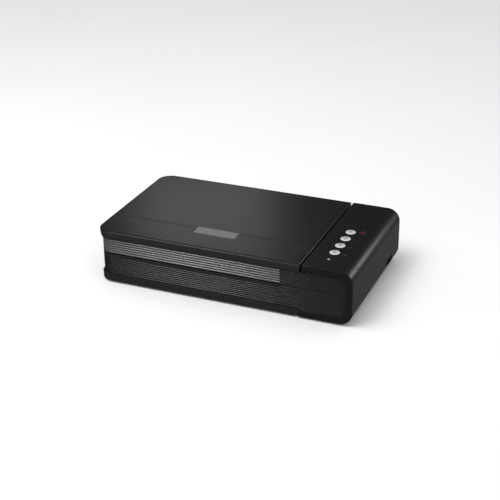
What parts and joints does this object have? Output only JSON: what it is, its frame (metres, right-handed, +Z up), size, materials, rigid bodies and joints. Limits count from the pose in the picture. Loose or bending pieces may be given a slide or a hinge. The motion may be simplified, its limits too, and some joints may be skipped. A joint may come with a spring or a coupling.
{
  "type": "flatbed scanner",
  "caption": "Flatbed document scanner with a hinged lid, ribbed walls and a rounded control housing with round push buttons along its right side.",
  "frame": {"origin": "middle of the whole part, on the plane that its feet stand on", "axes": "+X to the control housing, +Y to the hinges at the rear, +Z up"},
  "size_m": [0.453, 0.275, 0.0973],
  "materials": {
    "case_black": "fine spark-eroded grain, near black",
    "page_dark": "ribbed, satin charcoal",
    "strip_grey": "ribbed, satin warm grey",
    "glass": "clear float glass",
    "white_plastic": "moulded white",
    "mat_foam": "white film over thin foam",
    "button_silver": "satin silver lacquer",
    "plate_grey": "satin grey printed plate",
    "lamp_clear": "milky clear",
    "inner_black": "plain moulded black",
    "steel": "ground or plated",
    "brass": "turned",
    "board": "green solder mask",
    "rubber": "matt black",
    "mirror": "front-silvered",
    "ribbon": "flat cable"
  },
  "bodies": {
    "base": {"base_tray": "case_black", "page_wall": "page_dark", "grey_strip": "strip_grey", "bed_frame": "case_black", "scan_glass": "glass", "calibration_strip": "white_plastic", "spine_shell": "case_black", "lamp_lens": "lamp_clear", "button_board": "board", "tact_switches": "inner_black", "switch_bezel": "inner_black", "switch_body": "inner_black", "main_board": "board", "board_chips": "inner_black", "board_standoffs": "brass", "board_screws": "steel", "usb_port": "steel", "dc_jack": "inner_black", "bulkhead": "inner_black", "motor": "steel", "motor_bracket": "steel", "motor_screws": "steel", "gear_axle": "steel", "idler_axle": "steel", "tension_block": "inner_black", "tension_spring": "steel", "drive_belt": "rubber", "guide_rod": "steel", "rod_clips": "inner_black", "slide_rails": "steel", "rubber_feet": "rubber", "case_screws": "steel", "hinge_sockets": "case_black"},
    "hinge_lift": {"hinge_posts": "inner_black", "hinge_pins": "steel"},
    "lid": {"lid_shell": "case_black", "lid_inner": "inner_black", "document_mat": "mat_foam", "name_plate": "plate_grey", "lid_bumpers": "rubber", "lid_screws": "steel"},
    "carriage": {"carriage_housing": "inner_black", "lamp_bar": "lamp_clear", "carriage_mirrors": "mirror", "lens_barrel": "inner_black", "sensor_board": "board", "rod_bushes": "brass", "glide_pads": "white_plastic", "belt_clamp": "inner_black", "ribbon_cable": "ribbon"},
    "gear": {"reduction_gear": "white_plastic"},
    "pinion": {"motor_pinion": "brass"},
    "idler": {"idler_pulley": "white_plastic"},
    "button_1": {"scan_button_1": "button_silver"},
    "button_2": {"scan_button_2": "button_silver"},
    "button_3": {"scan_button_3": "button_silver"},
    "button_4": {"scan_button_4": "button_silver"},
    "rocker": {"power_rocker": "inner_black"}
  },
  "joints": [
    {"name": "hinge_rise", "type": "slide", "parent": "base", "child": "hinge_lift", "axis": [0, 0, 1], "range_m": [0, 0.02]},
    {"name": "lid_open", "type": "hinge", "parent": "hinge_lift", "child": "lid", "pos_m": [-0.044, 0.131, 0.0858], "axis": [-1, 0, 0], "range_deg": [0, 95]},
    {"name": "carriage_travel", "type": "slide", "parent": "base", "child": "carriage", "axis": [-1, 0, 0], "range_m": [0, 0.304], "deforming": ["ribbon_cable"]},
    {"name": "gear_spin", "type": "hinge", "parent": "base", "child": "gear", "pos_m": [0.1575, 0.0085, 0.023], "axis": [0, 0, 1], "continuous": true},
    {"name": "pinion_spin", "type": "hinge", "parent": "base", "child": "pinion", "pos_m": [0.1783, 0.0085, 0.027], "axis": [0, 0, 1], "continuous": true},
    {"name": "idler_spin", "type": "hinge", "parent": "base", "child": "idler", "pos_m": [-0.2095, 0.0085, 0.019], "axis": [0, 0, 1], "continuous": true},
    {"name": "rocker_tip", "type": "hinge", "parent": "base", "child": "rocker", "pos_m": [0.215, 0.0665, 0.022], "axis": [0, 0, 1], "range_deg": [0, 16]},
    {"name": "press_1", "type": "slide", "parent": "base", "child": "button_1", "axis": [0, 0, -1], "range_m": [0, 0.001], "stiffness_N_per_m": 600, "springref_m": -0.0005},
    {"name": "press_2", "type": "slide", "parent": "base", "child": "button_2", "axis": [0, 0, -1], "range_m": [0, 0.001], "stiffness_N_per_m": 600, "springref_m": -0.0005},
    {"name": "press_3", "type": "slide", "parent": "base", "child": "button_3", "axis": [0, 0, -1], "range_m": [0, 0.001], "stiffness_N_per_m": 600, "springref_m": -0.0005},
    {"name": "press_4", "type": "slide", "parent": "base", "child": "button_4", "axis": [0, 0, -1], "range_m": [0, 0.001], "stiffness_N_per_m": 600, "springref_m": -0.0005}
  ],
  "couplings": [
    {"joint": "gear_spin", "follows": "carriage_travel", "rad_per_m": 156.99},
    {"joint": "pinion_spin", "follows": "carriage_travel", "rad_per_m": -523.29},
    {"joint": "idler_spin", "follows": "carriage_travel", "rad_per_m": 156.99}
  ]
}
